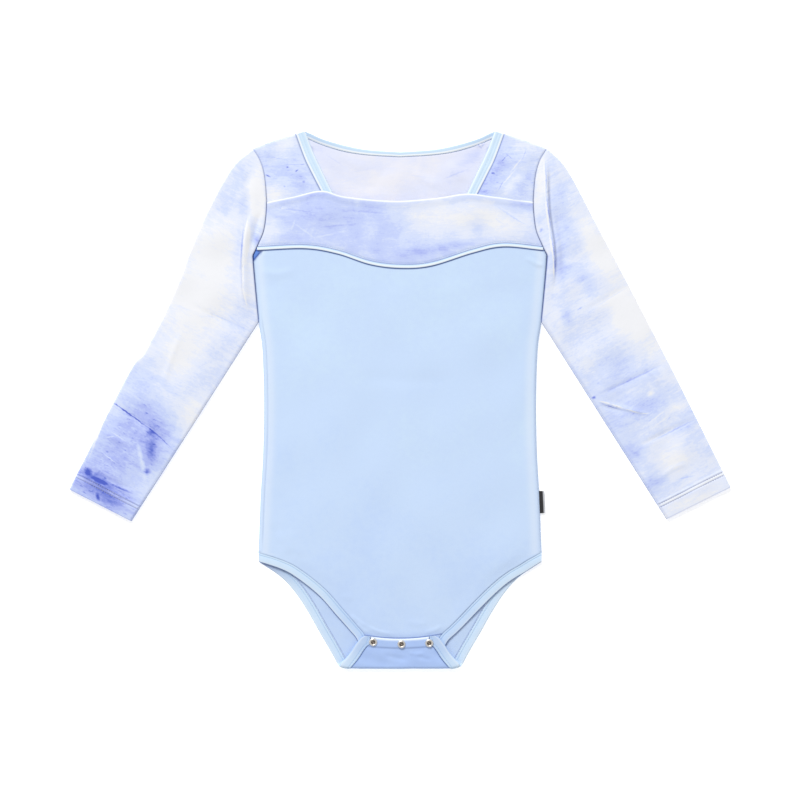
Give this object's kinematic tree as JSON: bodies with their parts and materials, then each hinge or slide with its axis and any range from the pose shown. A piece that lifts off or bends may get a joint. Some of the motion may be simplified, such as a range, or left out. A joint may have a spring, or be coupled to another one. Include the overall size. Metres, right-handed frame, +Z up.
{
  "type": "child's long-sleeved dance leotard",
  "caption": "Child's long-sleeved leotard laid flat on its back, with a wide neck, chest band, bound leg openings and a crotch flap closed by snaps.",
  "frame": {"origin": "middle of the laid-out outline, on the surface that the back lies on", "axes": "+X to the right across the spread sleeves as the front is looked down on, +Y towards the neck, +Z up out of the surface"},
  "size_m": [0.6278, 0.5097, 0.0071],
  "materials": {
    "body_jersey": "pale blue cotton jersey, matt, fine knit",
    "dyed_jersey": "cotton jersey, tie-dyed white, pale blue and periwinkle, matt",
    "dyed_jersey_wrong_side": "the paler wrong side of the tie-dyed jersey, matt",
    "binding_jersey": "pale blue self-fabric binding, matt",
    "snap_metal": "polished nickel-plated ring snap",
    "woven_label": "woven satin label, blank"
  },
  "bodies": {
    "root": {"back_body": "body_jersey", "back_yoke": "dyed_jersey_wrong_side", "front_body": "body_jersey", "front_shoulder_left": "dyed_jersey", "front_shoulder_right": "dyed_jersey", "chest_band": "dyed_jersey", "chest_piping": "binding_jersey", "sleeve_left": "dyed_jersey", "sleeve_right": "dyed_jersey", "neck_binding_front_left": "binding_jersey", "neck_binding_front_right": "binding_jersey", "neck_binding_back": "binding_jersey", "leg_binding_front_left": "binding_jersey", "leg_binding_front_right": "binding_jersey", "leg_binding_back_left": "binding_jersey", "leg_binding_back_right": "binding_jersey", "snap_cap_left": "snap_metal", "snap_cap_middle": "snap_metal", "snap_cap_right": "snap_metal", "snap_stud_left": "snap_metal", "snap_stud_middle": "snap_metal", "snap_stud_right": "snap_metal", "side_label": "woven_label"}
  },
  "joints": []
}
